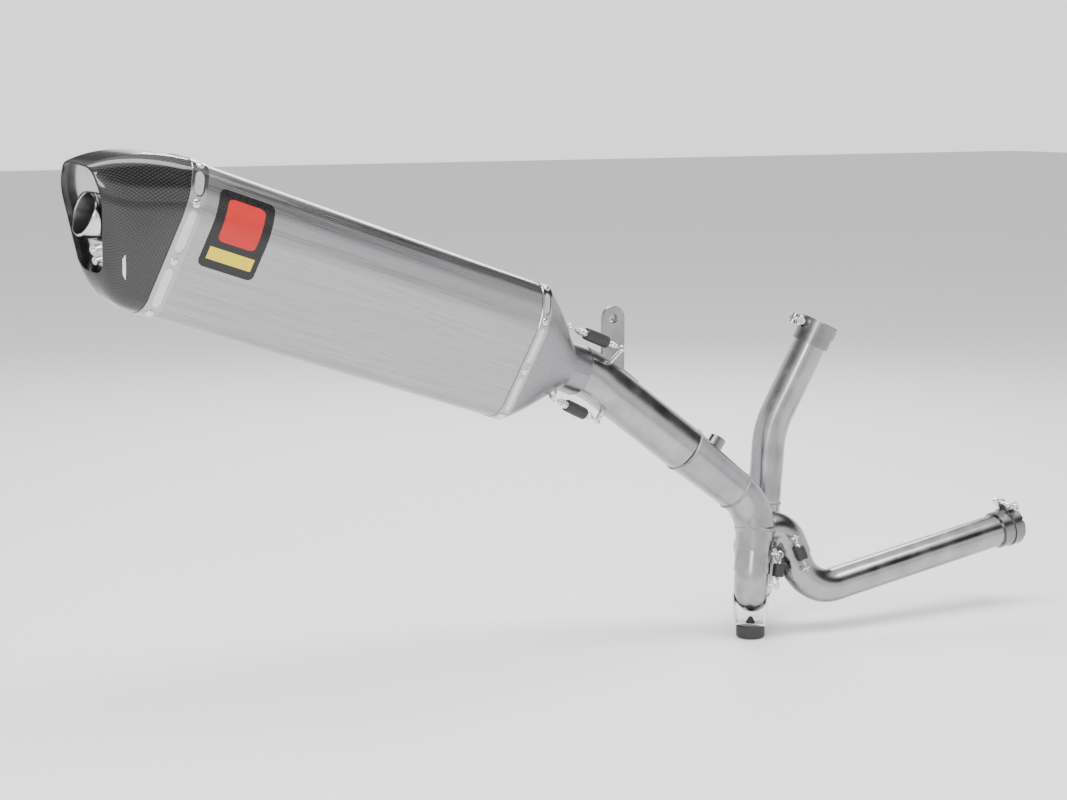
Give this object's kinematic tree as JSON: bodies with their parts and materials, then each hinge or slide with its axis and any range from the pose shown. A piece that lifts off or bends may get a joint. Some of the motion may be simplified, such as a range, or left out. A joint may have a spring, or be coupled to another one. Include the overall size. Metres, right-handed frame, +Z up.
{
  "type": "motorcycle exhaust system",
  "caption": "Two-into-one racing exhaust: two header tubes, collector, bent link pipe and a six-sided silencer with a woven carbon outlet cap, held by slip joints and springs.",
  "frame": {"origin": "centre of the thread of the weld nut behind the hanger plate", "axes": "+X is the motorcycle's forward direction, +Z up, -Y its right-hand side, where the silencer shows"},
  "size_m": [1.192, 0.1641, 0.5842],
  "materials": {
    "brushed_titanium": "satin brushed",
    "titanium_tube": "satin, bead blasted",
    "polished_steel": "polished",
    "zinc_steel": "bright zinc",
    "carbon_fibre": "glossy woven carbon under clear lacquer",
    "black_rubber": "matt",
    "black_badge": "satin black",
    "glass_wool": "loose wool"
  },
  "bodies": {
    "link": {"link_pipe": "titanium_tube", "taper_pipe": "titanium_tube", "elbow": "titanium_tube", "collector": "titanium_tube", "weld_bead_link": "titanium_tube", "weld_bead_taper": "titanium_tube", "sensor_boss": "titanium_tube", "hanger_bracket": "titanium_tube", "hanger_saddle": "titanium_tube", "weld_nut": "zinc_steel", "link_hook_upper": "zinc_steel", "link_hook_lower": "zinc_steel", "collector_hook_rear": "zinc_steel", "collector_hook_front": "zinc_steel", "silencer_upper_spring": "zinc_steel", "silencer_lower_spring": "zinc_steel", "collector_rear_spring": "zinc_steel", "collector_front_spring": "zinc_steel", "silencer_upper_spring_sleeve": "black_rubber", "silencer_lower_spring_sleeve": "black_rubber", "collector_rear_spring_sleeve": "black_rubber", "collector_front_spring_sleeve": "black_rubber"},
    "silencer": {"muffler_sleeve": "brushed_titanium", "outlet_band": "polished_steel", "inlet_band": "polished_steel", "outlet_band_rivets": "zinc_steel", "inlet_band_rivets": "zinc_steel", "outlet_end_plate": "titanium_tube", "inlet_cone": "brushed_titanium", "inlet_tube": "titanium_tube", "perforated_core": "titanium_tube", "acoustic_packing": "glass_wool", "carbon_end_cap": "carbon_fibre", "outlet_bezel": "polished_steel", "bezel_screw": "zinc_steel", "badge_plate": "black_badge", "silencer_hook_upper": "zinc_steel", "silencer_hook_lower": "zinc_steel"},
    "insert": {"noise_insert": "titanium_tube"},
    "insert_bolt": {"insert_bolt": "zinc_steel"},
    "front_header": {"front_header": "titanium_tube", "front_header_hook": "zinc_steel", "front_port_collar": "polished_steel"},
    "rear_header": {"rear_header": "titanium_tube", "rear_header_bead": "titanium_tube", "rear_header_hook": "zinc_steel", "rear_port_collar": "polished_steel", "stand_stop_strap": "zinc_steel", "stand_stop_buffer": "black_rubber"},
    "front_clamp": {"front_clamp_band": "zinc_steel", "front_clamp_barrels": "zinc_steel", "front_clamp_nut": "zinc_steel"},
    "front_clamp_bolt": {"front_clamp_bolt": "zinc_steel"},
    "rear_clamp": {"rear_clamp_band": "zinc_steel", "rear_clamp_barrels": "zinc_steel", "rear_clamp_nut": "zinc_steel"},
    "rear_clamp_bolt": {"rear_clamp_bolt": "zinc_steel"}
  },
  "joints": [
    {"name": "silencer_swivel", "type": "hinge", "parent": "link", "child": "silencer", "pos_m": [-0.065, -0.002, -0.049], "axis": [0.9379, 0.1285, -0.3223], "range_deg": [-5, 5], "deforming": ["silencer_upper_spring", "silencer_lower_spring"]},
    {"name": "front_header_swivel", "type": "hinge", "parent": "link", "child": "front_header", "pos_m": [0.229, -0.05, -0.294], "axis": [0.2385, -0.2981, -0.9242], "range_deg": [-4, 4], "deforming": ["collector_front_spring"]},
    {"name": "rear_header_swivel", "type": "hinge", "parent": "link", "child": "rear_header", "pos_m": [0.166, -0.052, -0.305], "axis": [-0.1974, -0.158, -0.9675], "range_deg": [-4, 4], "deforming": ["collector_rear_spring"]},
    {"name": "insert_slide", "type": "slide", "parent": "silencer", "child": "insert", "axis": [-0.9379, -0.1285, 0.3223], "range_m": [0, 0.06]},
    {"name": "insert_bolt_turn", "type": "hinge", "parent": "silencer", "child": "insert_bolt", "pos_m": [-0.61375, -0.07169, 0.10723], "axis": [-0.9053, -0.3947, -0.1568], "continuous": true},
    {"name": "front_clamp_swivel", "type": "hinge", "parent": "front_header", "child": "front_clamp", "pos_m": [0.53784, -0.08462, -0.28445], "axis": [0.9827, -0.069, 0.1718], "range_deg": [-30, 30]},
    {"name": "rear_clamp_swivel", "type": "hinge", "parent": "rear_header", "child": "rear_clamp", "pos_m": [0.3016, 0.00763, -0.03087], "axis": [0.3999, -0.152, 0.9039], "range_deg": [-30, 30]},
    {"name": "front_clamp_bolt_turn", "type": "hinge", "parent": "front_clamp", "child": "front_clamp_bolt", "pos_m": [0.53299, -0.08428, -0.25652], "axis": [-0.07, -0.9975, 0], "continuous": true},
    {"name": "rear_clamp_bolt_turn", "type": "hinge", "parent": "rear_clamp", "child": "rear_clamp_bolt", "pos_m": [0.27764, 0.01674, -0.01873], "axis": [-0.3552, -0.9348, 0], "continuous": true}
  ]
}
